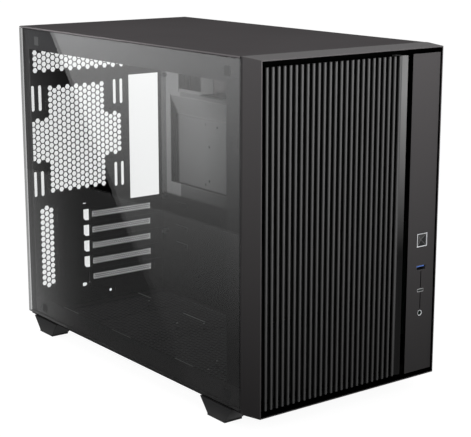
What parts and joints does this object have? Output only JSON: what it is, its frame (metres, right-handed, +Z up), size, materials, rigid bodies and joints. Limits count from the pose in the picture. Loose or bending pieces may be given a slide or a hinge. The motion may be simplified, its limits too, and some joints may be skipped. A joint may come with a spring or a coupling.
{
  "type": "micro atx computer case",
  "caption": "Upright desktop computer case with a glass side panel, slatted front and a port strip, on tapered feet; empty inside.",
  "frame": {"origin": "centre of the bounding box at ground level, under the foot pads", "axes": "front faces -Y, glass side faces -X, +Z up"},
  "size_m": [0.2402, 0.4696, 0.3725],
  "materials": {
    "steel_black": "fine black powder coat",
    "screw_black": "black zinc",
    "bright_steel": "bare bright steel",
    "standoff_brass": "blackened steel posts",
    "smoked_glass": "tempered, lightly smoked",
    "plastic_black": "satin black moulding",
    "filter_black": "fine black mesh",
    "board_dark": "dark circuit board and moulding",
    "light_white": "translucent white",
    "tongue_blue": "blue moulding",
    "pad_rubber": "black rubber"
  },
  "bodies": {
    "chassis": {"rear_panel": "steel_black", "slot_cover_1": "steel_black", "slot_cover_2": "steel_black", "slot_cover_3": "steel_black", "slot_cover_4": "steel_black", "slot_cover_5": "steel_black", "slot_screw": "screw_black", "floor_pan": "steel_black", "top_frame": "steel_black", "motherboard_tray": "steel_black", "standoffs": "standoff_brass", "drive_bracket": "steel_black", "front_bulkhead": "steel_black", "power_supply_bracket": "steel_black", "glass_sockets": "plastic_black", "right_panel": "steel_black", "panel_thumbscrews": "screw_black", "foot_front_left": "plastic_black", "foot_front_right": "plastic_black", "foot_rear_left": "plastic_black", "foot_rear_right": "plastic_black", "foot_pad_front_left": "pad_rubber", "foot_pad_front_right": "pad_rubber", "foot_pad_rear_left": "pad_rubber", "foot_pad_rear_right": "pad_rubber", "filter_runner_left": "plastic_black", "filter_runner_right": "plastic_black", "power_inlet": "plastic_black", "inlet_pins": "bright_steel", "inlet_screws": "screw_black", "floor_rivets": "bright_steel"},
    "front": {"front_bezel": "plastic_black", "front_grille": "plastic_black", "front_filter": "filter_black", "port_strip": "plastic_black", "port_board": "board_dark", "light_ring": "light_white", "button_switch": "board_dark", "wide_port_shell": "bright_steel", "wide_port_tongue": "tongue_blue", "small_port_shell": "bright_steel", "small_port_tongue": "board_dark", "audio_jack": "board_dark", "jack_ring": "light_white"},
    "button": {"power_button": "plastic_black"},
    "glass": {"left_glass": "smoked_glass", "glass_studs": "screw_black"},
    "cover": {"top_cover": "steel_black", "cover_tabs": "plastic_black"},
    "filter": {"bottom_filter_frame": "plastic_black", "bottom_filter_mesh": "filter_black"}
  },
  "joints": [
    {"name": "glass_pull", "type": "slide", "parent": "chassis", "child": "glass", "axis": [-1, 0, 0], "range_m": [0, 0.06]},
    {"name": "front_pull", "type": "slide", "parent": "chassis", "child": "front", "axis": [0, -1, 0], "range_m": [0, 0.05]},
    {"name": "cover_lift", "type": "slide", "parent": "chassis", "child": "cover", "axis": [0, 0, 1], "range_m": [0, 0.04]},
    {"name": "filter_slide", "type": "slide", "parent": "chassis", "child": "filter", "axis": [0, 1, 0], "range_m": [0, 0.385]},
    {"name": "button_press", "type": "slide", "parent": "front", "child": "button", "axis": [0, 1, 0], "range_m": [0, 0.0009], "stiffness_N_per_m": 800, "springref_m": -0.0006}
  ]
}
